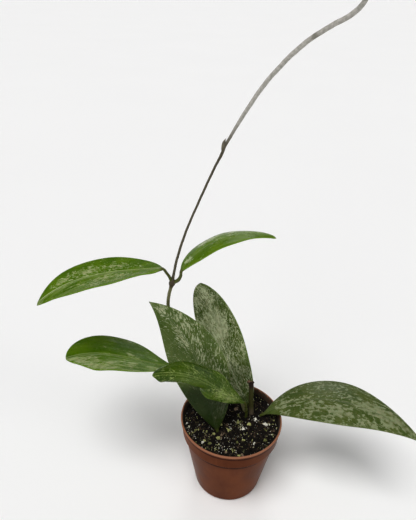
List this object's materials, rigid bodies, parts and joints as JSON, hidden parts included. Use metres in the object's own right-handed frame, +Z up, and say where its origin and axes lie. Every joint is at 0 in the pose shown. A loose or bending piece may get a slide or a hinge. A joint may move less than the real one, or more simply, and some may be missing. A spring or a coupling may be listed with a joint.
{
  "type": "potted hoya plant",
  "caption": "Young hoya cutting in a small tapered nursery pot of perlite compost, with thick pointed leaves splashed with silver and one long bare climbing vine.",
  "frame": {"origin": "centre of the pot's base, on the surface that it stands on", "axes": "+Z up along the pot's axis, -Y towards the front of the plant, +X to the right as seen from the front"},
  "size_m": [0.1905, 0.0826, 0.2543],
  "materials": {
    "pot_plastic": "satin",
    "potting_mix": "matte",
    "woody_stem": "matte",
    "green_stem": "matte",
    "leaf": "satin"
  },
  "bodies": {
    "root": {"pot": "pot_plastic", "soil": "potting_mix", "old_stem_stub": "woody_stem", "vine_shoot": "green_stem", "leaf_upper_left": "leaf", "leaf_upper_right": "leaf", "leaf_lower_left": "leaf", "leaf_front": "leaf", "leaf_folded": "leaf", "leaf_back": "leaf", "leaf_right": "leaf"}
  },
  "joints": []
}
